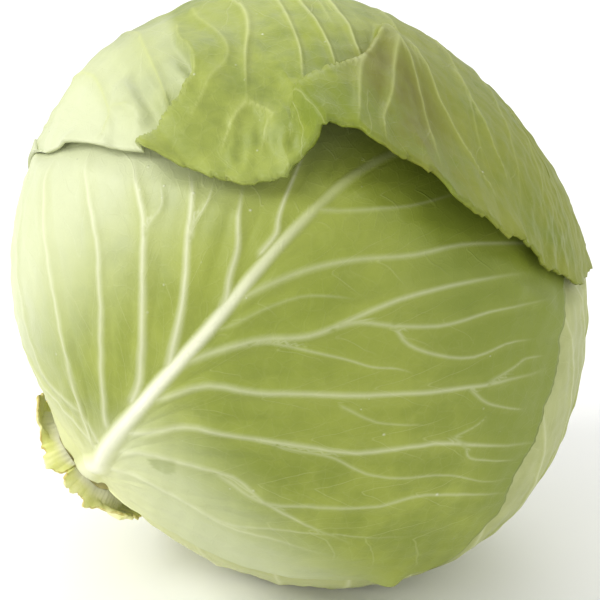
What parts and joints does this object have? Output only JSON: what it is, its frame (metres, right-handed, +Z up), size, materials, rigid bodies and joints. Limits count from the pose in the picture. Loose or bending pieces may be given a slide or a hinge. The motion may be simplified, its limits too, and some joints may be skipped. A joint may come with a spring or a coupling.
{
  "type": "green cabbage",
  "caption": "Whole round head of green cabbage lying on its side, with wrapper leaves, pale ribs, a cut stem and torn leaf bases.",
  "frame": {"origin": "point of the flat rest spot straight under the centre of the head", "axes": "+Z up from the surface it rests on; +X towards the crown end, with the cut stem at -X; -Y towards the viewer, the side of the front leaf"},
  "size_m": [0.172, 0.1812, 0.1713],
  "materials": {
    "heart": "pale yellow-green, smooth and waxy",
    "stem": "cream, dull and fibrous, browned at the cut",
    "front_leaf": "waxy green leaf with white ribs",
    "crown_leaf": "waxy green leaf with pale ribs",
    "under_leaf": "waxy pale green leaf",
    "back_leaf": "waxy green leaf",
    "torn_leaf": "yellow-green, dull, dried at the torn edge"
  },
  "bodies": {
    "root": {"heart": "heart", "stem": "stem", "front_leaf": "front_leaf", "crown_leaf": "crown_leaf", "under_leaf": "under_leaf", "back_leaf": "back_leaf", "torn_leaf_1": "torn_leaf", "torn_leaf_2": "torn_leaf", "torn_leaf_3": "torn_leaf"}
  },
  "joints": []
}
